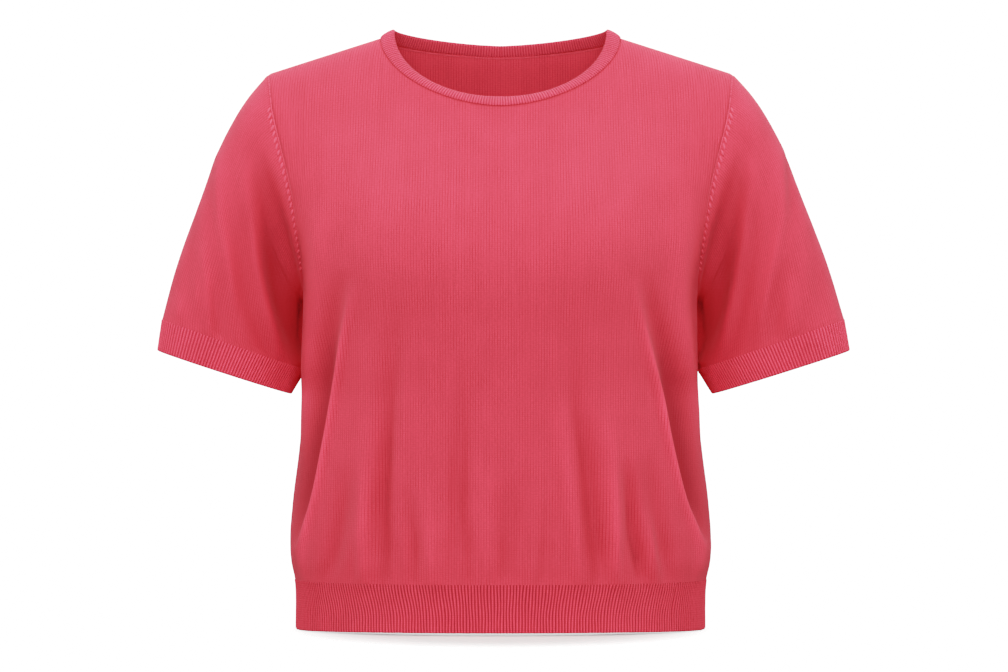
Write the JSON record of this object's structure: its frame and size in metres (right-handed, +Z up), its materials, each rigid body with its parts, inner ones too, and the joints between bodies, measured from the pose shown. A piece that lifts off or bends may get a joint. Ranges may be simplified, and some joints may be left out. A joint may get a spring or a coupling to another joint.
{
  "type": "short-sleeved jumper",
  "caption": "Fine-knit round-necked jumper with short sleeves, ribbed neckband, hem and cuffs, holding the hollow shape it has when worn.",
  "frame": {"origin": "midway between the two highest points of the neckband, on the line of the shoulder seams", "axes": "+Z up, the front faces -Y, and the wearer's left sleeve is at +X"},
  "size_m": [0.6211, 0.2295, 0.5345],
  "materials": {
    "body_knit": "fine plain knit in coral red, matt",
    "rib_knit": "fine rib knit in coral red, matt"
  },
  "bodies": {
    "root": {"front_panel": "body_knit", "back_panel": "body_knit", "sleeve_left": "body_knit", "sleeve_right": "body_knit", "neckband": "rib_knit", "hem_rib_front": "rib_knit", "hem_rib_back": "rib_knit", "cuff_rib_left": "rib_knit", "cuff_rib_right": "rib_knit"}
  },
  "joints": []
}
